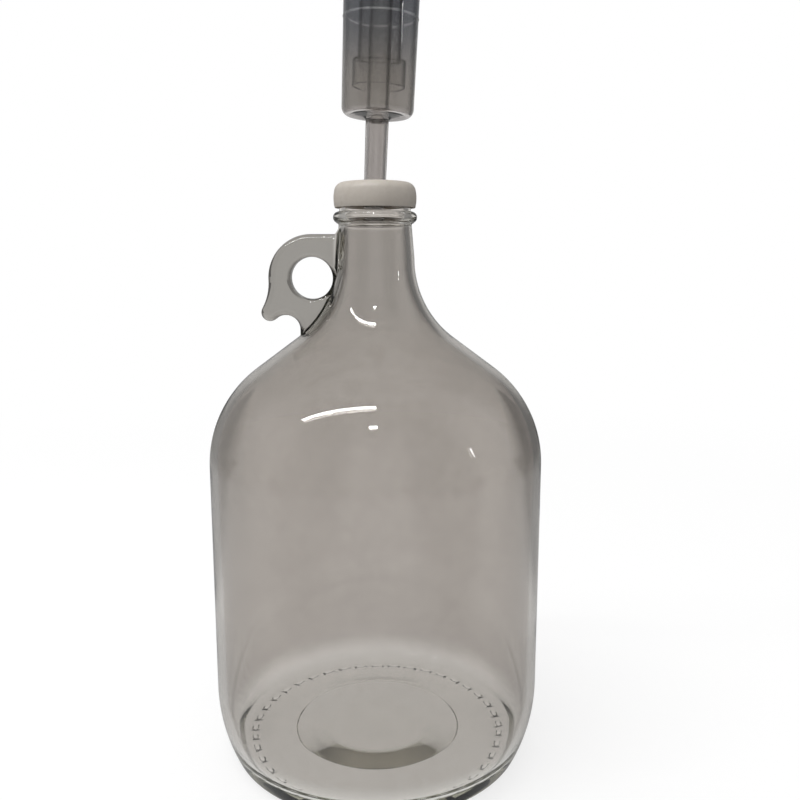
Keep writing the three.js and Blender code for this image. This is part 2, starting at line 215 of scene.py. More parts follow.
def combine(piece, other, operation):
    """Joins another solid to a piece, or cuts it out of the piece, and takes the other one away."""
    step = piece.modifiers.new("combine", "BOOLEAN")
    step.operation = operation
    step.solver = "EXACT"
    step.object = other
    graph = bpy.context.evaluated_depsgraph_get()
    mesh = bpy.data.meshes.new_from_object(piece.evaluated_get(graph))
    piece.modifiers.clear()
    piece.data = mesh
    bpy.data.objects.remove(other)


def ring_of(mesh, count):
    """Repeats a shape evenly round the Z axis."""
    bmesh.ops.spin(
        mesh,
        geom=mesh.verts[:] + mesh.edges[:] + mesh.faces[:],
        cent=(0, 0, 0),
        axis=(0, 0, 1),
        angle=math.tau * (count - 1) / count,
        steps=count - 1,
        use_duplicate=True,
    )


# The cone has its full oval halfway up, where it leaves the glass, and its upper half stays in the glass.
marks = bmesh.new()
bmesh.ops.create_cone(
    marks,
    cap_ends=True,
    segments=mark_sides,
    radius1=mark_taper,
    radius2=2 - mark_taper,
    depth=2 * mark_height,
)
bmesh.ops.scale(marks, vec=(mark_half_width, mark_half_length, 1), verts=marks.verts[:])
bmesh.ops.translate(marks, vec=(mark_radius, 0, mark_height), verts=marks.verts[:])
ring_of(marks, mark_count)
combine(jug, piece_of("marks", marks), "UNION")

# Ring handle
# A flat glass ring for one finger, pressed in the same mould. It has round edges, a spur below for the next
# finger and a root that runs down into the shoulder. It is one with the neck, with fillets between them.
hole_radius = 10.25 * MM
hole_drop = 26.4 * MM
hole_to_neck = 1.55 * MM
handle_band = 10.9 * MM
handle_thickness = 12 * MM
handle_edge = 3.5 * MM
hole_edge = 2.2 * MM
notch_radius = 7 * MM
notch_angle = math.radians(242.4)
spur_radius = 4.3 * MM
spur_angle = math.radians(132.5)
flare_radius = 26 * MM
web_fillet = 3 * MM
web_bite = 0.05 * MM
web_sink = 2.2 * MM
web_end = 3.5 * MM
arch_steps = 28
flare_steps = 8
spur_steps = 16
notch_steps = 14
handle_edge_steps = 7
web_steps = 7
web_sweep_steps = 16
hole_edge_steps = 6
hole_turns = 72


def away(centre, angle, distance):
    """The point at an angle and a distance from a centre."""
    return centre + Vector((math.cos(angle), math.sin(angle))) * distance


def bearing_of(centre, other):
    """The angle at which another point is seen from a centre."""
    return math.atan2(other.y - centre.y, other.x - centre.x)


# The flare is the round that touches the outside of the arch and of the spur.
arch_radius = hole_radius + handle_band
hole = Vector((-(neck_foot_radius + hole_to_neck + hole_radius), bead_bottom - hole_drop))
notch = away(hole, notch_angle, arch_radius + notch_radius)
spur = away(notch, spur_angle, notch_radius + spur_radius)
arch_reach = arch_radius + flare_radius
spur_reach = spur_radius + flare_radius
hole_to_spur = (spur - hole).length
spread = math.acos((arch_reach**2 + hole_to_spur**2 - spur_reach**2) / (2 * arch_reach * hole_to_spur))
arch_end = bearing_of(hole, spur) % math.tau - spread
flare = away(hole, arch_end, arch_reach)
flare_start = arch_end - math.pi
flare_end = bearing_of(flare, spur)
spur_start = flare_end + math.pi
root_foot = neck_foot - neck_sweep
handle_top = hole.y + arch_radius
handle_half = handle_thickness / 2

plate = Section(0, handle_top)
plate.line(hole.x, handle_top)
plate.arc(hole.x, hole.y, math.degrees(arch_end) - QUARTER, arch_steps)
plate.arc(flare.x, flare.y, math.degrees(flare_end - flare_start), flare_steps)
plate.arc(spur.x, spur.y, math.degrees(spur_angle + math.pi - spur_start), spur_steps)
plate.arc(notch.x, notch.y, -math.degrees(spur_angle), notch_steps)
plate.line(notch.x + notch_radius, root_foot)
plate.line(0, root_foot)
plate.close()
face = bmesh.ops.contextual_create(plate.mesh, geom=plate.mesh.edges[:])["faces"]
bmesh.ops.translate(plate.mesh, vec=(0, -handle_half, 0), verts=plate.mesh.verts[:])
raised = bmesh.ops.extrude_face_region(plate.mesh, geom=face, use_keep_orig=True)["geom"]
back = [part for part in raised if isinstance(part, bmesh.types.BMVert)]
bmesh.ops.translate(plate.mesh, vec=(0, handle_thickness, 0), verts=back)
bmesh.ops.recalc_face_normals(plate.mesh, faces=plate.mesh.faces[:])
rim = [edge for edge in plate.mesh.edges if abs(edge.verts[0].co.y - edge.verts[1].co.y) < WELD]
bmesh.ops.bevel(
    plate.mesh,
    geom=rim,
    offset=handle_edge,
    offset_type="OFFSET",
    segments=handle_edge_steps,
    profile=0.5,
    affect="EDGES",
    material=-1,
)
handle = piece_of("handle", plate.mesh)

# The fillets between handle and neck are one web, drawn level, led down and up along the neck and sunk into
# the glass at both ends.
web_side = handle_half + web_fillet - web_bite
web_reach = neck_foot_radius + web_fillet - web_bite
web_edge = -math.sqrt(web_reach**2 - web_side**2)
web_arc = QUARTER - math.degrees(math.asin(web_side / web_reach))
web_rise = handle_top - neck_foot
web_turn = math.acos((neck_centre + notch.x + notch_radius) / neck_sweep) - web_end / neck_sweep
neck_taper = (neck_foot_radius - neck_top_radius) / (neck_length - bead_fillet)
web = Section(web_edge, handle_half - web_bite)
web.arc(web_edge, web_side, web_arc, web_steps)
web_foot = web.last.co.copy()
web.line(web_sink - neck_foot_radius, 0)
web.line(web_foot.x, -web_foot.z)
web.arc(web_edge, -web_side, web_arc, web_steps)
web.close()
web_loop = web.mesh.edges[:]
lying = Matrix.Translation((0, 0, neck_foot)) @ Matrix.Rotation(-math.pi / 2, 4, "X")
bmesh.ops.transform(web.mesh, matrix=lying, verts=web.mesh.verts[:])


def drawn_out(mesh, loop, shift):
    """Draws walls out of a loop of edges by a shift and gives the loop at the new end."""
    made = bmesh.ops.extrude_edge_only(mesh, edges=loop)["geom"]
    corners = [part for part in made if isinstance(part, bmesh.types.BMVert)]
    bmesh.ops.translate(mesh, vec=shift, verts=corners)
    return [part for part in made if isinstance(part, bmesh.types.BMEdge) and part.is_boundary]


swept = bmesh.ops.spin(
    web.mesh,
    geom=web.mesh.verts[:] + web_loop,
    cent=(-neck_centre, 0, neck_foot),
    axis=(0, -1, 0),
    angle=-web_turn,
    steps=web_sweep_steps,
)
web_low = [part for part in swept["geom_last"] if isinstance(part, bmesh.types.BMEdge)]
onward = Vector((-math.sin(web_turn), 0, -math.cos(web_turn))) * web_end
inward = Vector((math.cos(web_turn), 0, -math.sin(web_turn))) * web_sink
drawn_out(web.mesh, web_low, onward + inward)
web_top = drawn_out(web.mesh, web_loop, (web_rise * neck_taper, 0, web_rise))
drawn_out(web.mesh, web_top, (web_sink, 0, web_end))
bmesh.ops.holes_fill(web.mesh, edges=web.mesh.edges[:])
bmesh.ops.recalc_face_normals(web.mesh, faces=web.mesh.faces[:])
combine(handle, piece_of("web", web.mesh), "UNION")

bore_edge = hole_radius + hole_edge
bore = Section(0, -handle_thickness)
bore.line(bore_edge, -handle_thickness)
bore.line(bore_edge, -handle_half)
bore.arc(bore_edge, hole_edge - handle_half, -QUARTER, hole_edge_steps)
bore.line(hole_radius, handle_half - hole_edge)
bore.arc(bore_edge, handle_half - hole_edge, -QUARTER, hole_edge_steps)
bore.line(bore_edge, handle_thickness)
bore.line(0, handle_thickness)
bore.turned(hole_turns)
lying = Matrix.Translation((hole.x, 0, hole.y)) @ Matrix.Rotation(math.pi / 2, 4, "X")
bmesh.ops.transform(bore.mesh, matrix=lying, verts=bore.mesh.verts[:])
combine(handle, piece_of("bore", bore.mesh), "DIFFERENCE")
combine(jug, handle, "UNION")

# Screw thread on the neck
# One raised turn of round section winds up the finish above the bead, right-handed, for the cap to ride on.
# It is moulded with the finish, and it starts and stops square.
thread_pitch = 4.233 * MM
glass_thread_height = 1.25 * MM
glass_thread_turns = 1.1
glass_thread_drop = 2.9 * MM
thread_sides = 14
thread_steps = 72


def thread_ridge(wall_radius, height, start, start_angle, turns):
    """A round ridge that winds up a wall, as a solid of its own."""
    ridge = bmesh.new()
    bmesh.ops.create_circle(ridge, cap_ends=True, radius=height, segments=thread_sides)
    upright = Matrix.Translation((wall_radius, 0, start)) @ Matrix.Rotation(math.pi / 2, 4, "X")
    bmesh.ops.transform(ridge, matrix=Matrix.Rotation(start_angle, 4, "Z") @ upright, verts=ridge.verts[:])
    bmesh.ops.spin(
        ridge,
        geom=ridge.verts[:] + ridge.edges[:] + ridge.faces[:],
        cent=(0, 0, 0),
        axis=(0, 0, 1),
        dvec=(0, 0, turns * thread_pitch / thread_steps),
        angle=turns * math.tau,
        steps=thread_steps,
    )
    bmesh.ops.holes_fill(ridge, edges=ridge.edges[:])
    bmesh.ops.recalc_face_normals(ridge, faces=ridge.faces[:])
    return piece_of("thread", ridge)


glass_thread_start = lip_height - glass_thread_drop - glass_thread_turns * thread_pitch
glass_thread = thread_ridge(finish_radius, glass_thread_height, glass_thread_start, 0, glass_thread_turns)
combine(jug, glass_thread, "UNION")

# Inside of the jug
# Blowing leaves a wall of even thickness, a thicker floor that rises in the middle, a deep round
# between wall and floor and a plain round mouth.
glass_wall = 3.6 * MM
floor_height = 9.2 * MM
floor_crown = 3.2 * MM
inner_heel = 8 * MM
heel_wall = 4.2 * MM
mouth_radius = 14.5 * MM
above_lip = 5 * MM
floor_steps = 16
glass_crease = 35

inner_sweep = heel_sweep - heel_wall
inner_turn = math.asin((heel_foot - inner_heel - floor_height) / (inner_sweep - inner_heel))
floor_reach = heel_centre + (inner_sweep - inner_heel) * math.cos(inner_turn)
floor_middle = floor_height + floor_crown
floor_round = (floor_reach**2 + floor_crown**2) / (2 * floor_crown)
floor_turn = math.asin(floor_reach / floor_round)
mouth_edge = mouth_radius + lip_round
inside = Section(0, floor_middle)
inside.arc(0, floor_middle - floor_round, -math.degrees(floor_turn), floor_steps)
inside.arc(floor_reach, floor_height + inner_heel, QUARTER - math.degrees(inner_turn), heel_steps)
inside.arc(heel_centre, heel_foot, math.degrees(inner_turn), heel_steps)
shoulder_and_neck(inside, glass_wall)
inside.line(mouth_radius, bead_bottom)
inside.line(mouth_radius, lip_height - lip_round)
inside.arc(mouth_edge, lip_height - lip_round, -QUARTER, lip_steps)
inside.line(mouth_edge, lip_height + above_lip)
inside.line(0, lip_height + above_lip)
combine(jug, piece_of("inside", inside.turned(glass_turns)), "DIFFERENCE")


def smoothed(piece, degrees):
    """Shades a piece as round, apart from edges sharper than an angle."""
    piece.data.shade_smooth()
    piece.data.set_sharp_from_angle(angle=math.radians(degrees))


smoothed(jug, glass_crease)

# Glass of the jug
# Clear soda glass with a warm grey cast, stronger in the neck and the thick ring handle. The finish is
# painted clearer to offset the shade under the cap, and the base painted clearer to stand for light from
# beneath it: both are painted light. The mould leaves slow ripples in it, and handling leaves faint wiped
# patches.


def new_material(name):
    """A material that is still a plain Principled BSDF."""
    material = bpy.data.materials.new(name)
    material.use_nodes = True
    return material


def placed(tree, kind, **settings):
    """Adds a node, with its sockets set by name."""
    node = tree.nodes.new(kind)
    for socket, value in settings.items():
        node.inputs[socket.replace("_", " ")].default_value = value
    return node


def new_group(name, numbers, results):
    """An empty node group that works on Object coordinates, with its inputs, coordinates and outputs."""
    group = bpy.data.node_groups.new(name, "ShaderNodeTree")
    for socket, value in numbers.items():
        made = group.interface.new_socket(socket, in_out="INPUT", socket_type="NodeSocketFloat")
        made.default_value = value
    for socket in results:
        group.interface.new_socket(socket, in_out="OUTPUT", socket_type="NodeSocketFloat")
    given = group.nodes.new("NodeGroupInput")
    coordinates = group.nodes.new("ShaderNodeTexCoord").outputs["Object"]
    result = group.nodes.new("NodeGroupOutput")
    return group, given, coordinates, result


def wiped_patches():
    """Cloudy patches with finer streaks in them, as hands and cloths leave on a smooth surface."""
    numbers = {"Scale": 20.0, "Streaks": 200.0, "Low": 0.0, "High": 0.1}
    group, given, coordinates, result = new_group("wiped_patches", numbers, ["Patches", "Roughness"])
    clouds = placed(group, "ShaderNodeTexNoise", Detail=3.0, Roughness=0.55)
    streaks = placed(group, "ShaderNodeTexNoise", Detail=2.0, Distortion=0.4)
    both = group.nodes.new("ShaderNodeMath")
    both.operation = "MULTIPLY"
    spread = placed(group, "ShaderNodeMapRange", From_Min=0.16, From_Max=0.42)
    level = placed(group, "ShaderNodeMapRange")
    link = group.links.new
    link(coordinates, clouds.inputs["Vector"])
    link(coordinates, streaks.inputs["Vector"])
    link(given.outputs["Scale"], clouds.inputs["Scale"])
    link(given.outputs["Streaks"], streaks.inputs["Scale"])
    link(clouds.outputs["Fac"], both.inputs[0])
    link(streaks.outputs["Fac"], both.inputs[1])
    link(both.outputs[0], spread.inputs["Value"])
    link(spread.outputs["Result"], level.inputs["Value"])
    link(given.outputs["Low"], level.inputs["To Min"])
    link(given.outputs["High"], level.inputs["To Max"])
    link(spread.outputs["Result"], result.inputs["Patches"])
    link(level.outputs["Result"], result.inputs["Roughness"])
    return group


def mould_ripple():
    """Slow waves with a little fine grain, as a mould leaves in glass or plastic."""
    numbers = {"Waves": 20.0, "Grain": 400.0, "Grain Share": 0.1}
    group, given, coordinates, result = new_group("mould_ripple", numbers, ["Height"])
    waves = placed(group, "ShaderNodeTexNoise", Detail=1.0)
    grain = placed(group, "ShaderNodeTexNoise", Detail=2.0)
    height = group.nodes.new("ShaderNodeMath")
    height.operation = "MULTIPLY_ADD"
    link = group.links.new
    link(coordinates, waves.inputs["Vector"])
    link(coordinates, grain.inputs["Vector"])
    link(given.outputs["Waves"], waves.inputs["Scale"])
    link(given.outputs["Grain"], grain.inputs["Scale"])
    link(grain.outputs["Fac"], height.inputs[0])
    link(given.outputs["Grain Share"], height.inputs[1])
    link(waves.outputs["Fac"], height.inputs[2])
    link(height.outputs[0], result.inputs["Height"])
    return group


wiped = wiped_patches()
ripple = mould_ripple()


def mixed(tree, factor, colour, other):
    """Mixes a colour, from another node or plain, with a plain one."""
    tint = tree.nodes.new("ShaderNodeMix")
    tint.data_type = "RGBA"
    tree.links.new(factor, tint.inputs["Factor"])
    if isinstance(colour, bpy.types.NodeSocket):
        tree.links.new(colour, tint.inputs["A"])
    else:
        tint.inputs["A"].default_value = (*colour, 1)
    tint.inputs["B"].default_value = (*other, 1)
    return tint.outputs["Result"]


def zone(tree, centre, lean, axes, inner, outer):
    """1 within a distance of a place, measured along some axes only, and 0 past another distance."""
    local = placed(tree, "ShaderNodeMapping", Location=centre, Rotation=(0, lean, 0))
    local.vector_type = "TEXTURE"
    part = tree.nodes.new("ShaderNodeVectorMath")
    part.operation = "MULTIPLY"
    part.inputs[1].default_value = axes
    reach = tree.nodes.new("ShaderNodeVectorMath")
    reach.operation = "LENGTH"
    edge = placed(tree, "ShaderNodeMapRange", From_Min=inner, From_Max=outer, To_Min=1.0, To_Max=0.0)
    edge.interpolation_type = "SMOOTHSTEP"
    tree.links.new(tree.nodes.new("ShaderNodeTexCoord").outputs["Object"], local.inputs["Vector"])
    tree.links.new(local.outputs["Vector"], part.inputs[0])
    tree.links.new(part.outputs["Vector"], reach.inputs[0])
    tree.links.new(reach.outputs["Value"], edge.inputs["Value"])
    return edge.outputs["Result"]


def surface_nodes(tree, patch_values, ripple_values, ripple_depth, colours, zones):
    """Feeds a material's colour, roughness and normal from its zones, the wiped patches and the ripple."""
    shader = tree.nodes["Principled BSDF"]
    patches = tree.nodes.new("ShaderNodeGroup")
    patches.node_tree = wiped
    waves = tree.nodes.new("ShaderNodeGroup")
    waves.node_tree = ripple
    for node, values in ((patches, patch_values), (waves, ripple_values)):
        for socket, value in values.items():
            node.inputs[socket].default_value = value
    clean_colour, wiped_colour = colours
    colour = mixed(tree, patches.outputs["Patches"], clean_colour, wiped_colour)
    for zone_colour, limits in zones:
        share = zone(tree, *limits[0])
        for limit in limits[1:]:
            both = tree.nodes.new("ShaderNodeMath")
            both.operation = "MULTIPLY"
            tree.links.new(share, both.inputs[0])
            tree.links.new(zone(tree, *limit), both.inputs[1])
            share = both.outputs[0]
        colour = mixed(tree, share, colour, zone_colour)
    bump = placed(tree, "ShaderNodeBump", Distance=ripple_depth)
    tree.links.new(colour, shader.inputs["Base Color"])
    tree.links.new(patches.outputs["Roughness"], shader.inputs["Roughness"])
    tree.links.new(waves.outputs["Height"], bump.inputs["Height"])
    tree.links.new(bump.outputs["Normal"], shader.inputs["Normal"])
    return shader


def clear_material(name, refraction, cast, density, zones, **surface):
    """Glass or clear plastic with a faint cast of its own that grows with its depth."""
    material = new_material(name)
    tree = material.node_tree
    shader = surface_nodes(tree, zones=zones, **surface)
    shader.inputs["Transmission Weight"].default_value = 1
    shader.inputs["IOR"].default_value = refraction
    depth = placed(tree, "ShaderNodeVolumeAbsorption", Color=(*cast, 1), Density=density)
    tree.links.new(depth.outputs["Volume"], tree.nodes["Material Output"].inputs["Volume"])
    return material


neck_glass = (0.57, 0.547, 0.526)
neck_zone = (52 * MM, 84 * MM)
# Painted light: the finish is made clearer than the rest of the glass to offset the shade under the cap.
finish_painted_light = (0.80, 0.775, 0.75)
finish_painted_light_zone = (17.4 * MM, 19 * MM)
handle_glass = (0.345, 0.33, 0.312)
handle_zone = (27 * MM, 32 * MM)
handle_from_axis = (21 * MM, 18.5 * MM)
handle_skin = (0.05 * MM, 0.6 * MM)
# Painted light: the base is made clearer to stand for light reaching it from beneath.
base_painted_light = (0.925, 0.915, 0.90)
base_painted_light_zone = (10 * MM, 24 * MM)
no_lean = 0
by_x = (1, 0, 0)
by_y = (0, 1, 0)
by_z = (0, 0, 1)
round_hole = (1, 0, 1)
lip_middle = (0, 0, lip_height)
hole_middle = (hole.x, 0, hole.y)
past_handle = (2 * hole.x, 0, 0)
jug_glass = clear_material(
    "jug_glass",
    colours=[(0.635, 0.607, 0.583), (0.605, 0.578, 0.555)],
    zones=[
        (neck_glass, [(lip_middle, no_lean, by_z, *neck_zone)]),
        (finish_painted_light, [(lip_middle, no_lean, by_z, *finish_painted_light_zone)]),
        (
            handle_glass,
            [
                (hole_middle, no_lean, round_hole, *handle_zone),
                (past_handle, no_lean, by_x, *(-2 * hole.x - reach for reach in handle_from_axis)),
                ((0, 0, 0), no_lean, by_y, *(handle_half + skin for skin in handle_skin)),
            ],
        ),
        (base_painted_light, [((0, 0, 0), no_lean, by_z, *base_painted_light_zone)]),
    ],
    refraction=1.5,
    cast=(0.36, 0.36, 0.22),
    density=10.5,
    patch_values={"Scale": 18, "Streaks": 150, "Low": 0.0, "High": 0.035},
    ripple_values={"Waves": 26, "Grain": 300, "Grain Share": 0.02},
    ripple_depth=0.12 * MM,
)
jug.data.materials.clear()
jug.data.materials.append(jug_glass)
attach(jug, "jug")
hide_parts("glass_jug")

# Liner of the cap
# A soft foamed ring cut from sheet and pressed into the top of the cap, where it stays by its own spring.
# It seals on the lip of the jug when the cap is screwed down.
liner_low, liner_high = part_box("cap_liner")
liner_inner = 10.64 * MM
liner_edge = 0.15 * MM
fitting_turns = 160
liner_crease = 35
liner_section = Section(liner_inner, liner_low.z + liner_edge)
liner_section.line(liner_inner + liner_edge, liner_low.z)
liner_section.line(liner_high.x - liner_edge, liner_low.z)
liner_section.line(liner_high.x, liner_low.z + liner_edge)
liner_section.line(liner_high.x, liner_high.z - liner_edge)
liner_section.line(liner_high.x - liner_edge, liner_high.z)
liner_section.line(liner_inner + liner_edge, liner_high.z)
liner_section.line(liner_inner, liner_high.z - liner_edge)
liner_section.close()
liner = piece_of("liner", liner_section.turned(fitting_turns))
smoothed(liner, liner_crease)


def opaque_material(name, **surface):
    """Plastic, foam or rubber that light doesn't pass through."""
    material = new_material(name)
    surface_nodes(material.node_tree, zones=[], **surface)
    return material


liner_foam = opaque_material(
    "liner_foam",
    colours=[(0.80, 0.78, 0.74), (0.72, 0.70, 0.65)],
    patch_values={"Scale": 300, "Streaks": 900, "Low": 0.75, "High": 0.95},
    ripple_values={"Waves": 1800, "Grain": 5000, "Grain Share": 0.5},
    ripple_depth=0.12 * MM,
)
liner.data.materials.append(liner_foam)
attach(liner, "liner")
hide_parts("cap_liner")

# Screw cap
# A moulded cap of white plastic with smooth sides, a round top edge and a plain hole in its middle for the
# grommet. Its sides swell a little and draw in at the foot, and a single thread inside rides on the jug's.
cap_low, cap_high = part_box("screw_cap")
cap_radius = cap_high.x
cap_wall = 1.1 * MM
cap_top_thickness = 1.5 * MM
cap_round = 4.6 * MM
cap_swell = 18 * MM
cap_belly = 4.5 * MM
cap_foot_round = 0.25 * MM
cap_inner_round = 2.7 * MM
cap_hole = 7.24 * MM
cap_hole_round = 0.3 * MM
cap_thread_height = 0.95 * MM
cap_thread_lift = 1.3 * MM
cap_thread_turns = 1
cap_foot_steps = 4
cap_swell_steps = 14
cap_round_steps = 12
cap_inner_steps = 8
cap_crease = 32

cap_inner = cap_radius - cap_wall
cap_ceiling = cap_high.z - cap_top_thickness
belly_height = cap_low.z + cap_belly
swell_reach = cap_radius - cap_swell
foot_turn = math.asin((cap_belly - cap_foot_round) / cap_swell)
top_turn = math.asin((cap_high.z - cap_round - belly_height) / (cap_swell - cap_round))
foot_height = cap_low.z + cap_foot_round
foot_reach = swell_reach + cap_swell * math.cos(foot_turn) - cap_foot_round
round_reach = swell_reach + (cap_swell - cap_round) * math.cos(top_turn)
cap_section = Section(cap_inner, foot_height)
cap_section.arc(cap_inner + cap_foot_round, foot_height, QUARTER, cap_foot_steps)
cap_section.line(foot_reach, cap_low.z)
cap_section.arc(foot_reach, foot_height, QUARTER, cap_foot_steps)
cap_section.arc(swell_reach, belly_height, math.degrees(foot_turn + top_turn), cap_swell_steps)
cap_section.arc(round_reach, cap_high.z - cap_round, QUARTER - math.degrees(top_turn), cap_round_steps)
cap_section.line(cap_hole + cap_hole_round, cap_high.z)
cap_section.line(cap_hole, cap_high.z - cap_hole_round)
cap_section.line(cap_hole, cap_ceiling)
cap_section.line(cap_inner - cap_inner_round, cap_ceiling)
cap_section.arc(cap_inner - cap_inner_round, cap_ceiling - cap_inner_round, -QUARTER, cap_inner_steps)
cap_section.close()
cap = piece_of("cap", cap_section.turned(fitting_turns))
cap_thread_start = cap_low.z + cap_thread_lift
below_glass_thread = cap_thread_start + thread_pitch / 2 - glass_thread_start
cap_thread_angle = math.tau * below_glass_thread / thread_pitch
cap_thread = thread_ridge(
    cap_inner, cap_thread_height, cap_thread_start, cap_thread_angle, cap_thread_turns
)
combine(cap, cap_thread, "UNION")
smoothed(cap, cap_crease)
cap_plastic = opaque_material(
    "cap_plastic",
    colours=[(0.55, 0.505, 0.452), (0.51, 0.465, 0.412)],
    patch_values={"Scale": 90, "Streaks": 420, "Low": 0.36, "High": 0.52},
    ripple_values={"Waves": 120, "Grain": 2600, "Grain Share": 0.12},
    ripple_depth=0.05 * MM,
)
cap_milkiness = 0.5
cap_milk_colours = (1.0, 0.95, 0.88)
cap_milk_depth = 2.5 * MM
cap_shader = cap_plastic.node_tree.nodes["Principled BSDF"]
cap_shader.inputs["Subsurface Weight"].default_value = cap_milkiness
cap_shader.inputs["Subsurface Radius"].default_value = cap_milk_colours
cap_shader.inputs["Subsurface Scale"].default_value = cap_milk_depth
cap.data.materials.clear()
cap.data.materials.append(cap_plastic)
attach(cap, "cap")
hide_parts("screw_cap")

# Grommet
# A pale rubber bush pushed into the cap's hole. The edge of the hole sits in its groove, and its bore grips
# and seals the stem of the airlock.
grommet_low, grommet_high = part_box("stem_grommet")
grommet_gap = 0.2 * MM
grommet_bore = 5.59 * MM
grommet_wall = 1.4 * MM
grommet_lip = 0.6 * MM
grommet_edge = 0.25 * MM
grommet_steps = 6
grommet_crease = 35
grommet_waist = grommet_bore + grommet_wall
groove_top = cap_high.z + grommet_gap
groove_foot = cap_ceiling - grommet_gap
grommet_section = Section(grommet_bore, grommet_low.z)
grommet_section.line(grommet_waist, grommet_low.z)
grommet_section.line(grommet_high.x, groove_foot - grommet_edge)
grommet_section.line(grommet_high.x - grommet_edge, groove_foot)
grommet_section.line(grommet_waist, groove_foot)
grommet_section.line(grommet_waist, groove_top)
grommet_section.line(grommet_high.x, groove_top)
grommet_section.arc(grommet_high.x - grommet_lip, groove_top, QUARTER, grommet_steps)
grommet_section.line(grommet_bore + grommet_edge, grommet_high.z)
grommet_section.line(grommet_bore, grommet_high.z - grommet_edge)
grommet_section.close()
grommet = piece_of("grommet", grommet_section.turned(fitting_turns))
smoothed(grommet, grommet_crease)
grommet_rubber = opaque_material(
    "grommet_rubber",
    colours=[(0.44, 0.42, 0.38), (0.36, 0.34, 0.30)],
    patch_values={"Scale": 160, "Streaks": 700, "Low": 0.55, "High": 0.75},
    ripple_values={"Waves": 240, "Grain": 3000, "Grain Share": 0.3},
    ripple_depth=0.06 * MM,
)
grommet.data.materials.append(grommet_rubber)
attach(grommet, "grommet")
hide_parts("stem_grommet")

# Body of the airlock
# One clear plastic moulding: a tapered stem that pushes into the grommet, a bowl for the water with a
# raised fill line round it, and a riser tube that stands up inside the bowl. It leans in the grommet.
pull = next(joint for joint in frame["joints"] if joint["name"] == "airlock_pull")
lean = math.atan2(pull["axis"][0], pull["axis"][2])
stand = Matrix.Translation((0, 0, cap_high.z - cap_top_thickness / 2)) @ Matrix.Rotation(lean, 4, "Y")
stem_radius = 5.5 * MM
stem_tip_radius = 5.2 * MM
stem_bore = 4 * MM
stem_rise = 30.2 * MM
stem_reach = 12.4 * MM
stem_fillet = 2.2 * MM
riser_radius = 5.4 * MM
riser_height = 57 * MM
riser_fillet = 1.4 * MM
bowl_floor_radius = 17.2 * MM
bowl_rim_radius = 18 * MM
bowl_height = 72 * MM
bowl_wall = 1.4 * MM
bowl_corner = 4 * MM
fill_line_height = 44.5 * MM
fill_line_round = 0.22 * MM
rim_round = 0.3 * MM
airlock_fillet_steps = 6
bowl_corner_steps = 10
inner_corner_steps = 8
fill_line_steps = 10
airlock_crease = 40

bowl_foot = cap_top_thickness / 2 + stem_rise
bowl_rim = bowl_foot + bowl_height
bowl_floor = bowl_foot + bowl_wall
riser_top = bowl_foot + riser_height
stem_tip = cap_top_thickness / 2 - stem_reach
fill_line = bowl_foot + fill_line_height
corner_radius = bowl_floor_radius - bowl_corner
inner_corner = bowl_corner - bowl_wall
fill_line_share = fill_line_height / bowl_height
fill_line_radius = bowl_floor_radius + (bowl_rim_radius - bowl_floor_radius) * fill_line_share


def standing(section):
    """Spins a section and stands it in the grommet, at the airlock's lean."""
    made = section.turned(fitting_turns)
    bmesh.ops.transform(made, matrix=stand, verts=made.verts[:])
    return made


body_section = Section(stem_bore, stem_tip)
body_section.line(stem_tip_radius - rim_round, stem_tip)
body_section.line(stem_tip_radius, stem_tip + rim_round)
body_section.line(stem_radius, bowl_foot - stem_fillet)
body_section.arc(stem_radius + stem_fillet, bowl_foot - stem_fillet, -QUARTER, airlock_fillet_steps)
body_section.line(corner_radius, bowl_foot)
body_section.arc(corner_radius, bowl_foot + bowl_corner, QUARTER, bowl_corner_steps)
body_section.line(fill_line_radius, fill_line - fill_line_round)
body_section.arc(fill_line_radius, fill_line, 2 * QUARTER, fill_line_steps)
body_section.line(bowl_rim_radius, bowl_rim - rim_round)
body_section.line(bowl_rim_radius - rim_round, bowl_rim)
body_section.line(bowl_rim_radius - bowl_wall + rim_round, bowl_rim)
body_section.line(bowl_rim_radius - bowl_wall, bowl_rim - rim_round)
body_section.line(corner_radius + inner_corner, bowl_foot + bowl_corner)
body_section.arc(corner_radius, bowl_foot + bowl_corner, -QUARTER, inner_corner_steps)
body_section.line(riser_radius + riser_fillet, bowl_floor)
body_section.arc(riser_radius + riser_fillet, bowl_floor + riser_fillet, -QUARTER, airlock_fillet_steps)
body_section.line(riser_radius, riser_top - rim_round)
body_section.line(riser_radius - rim_round, riser_top)
body_section.line(stem_bore, riser_top)
body_section.close()
airlock = piece_of("airlock", standing(body_section))
smoothed(airlock, airlock_crease)
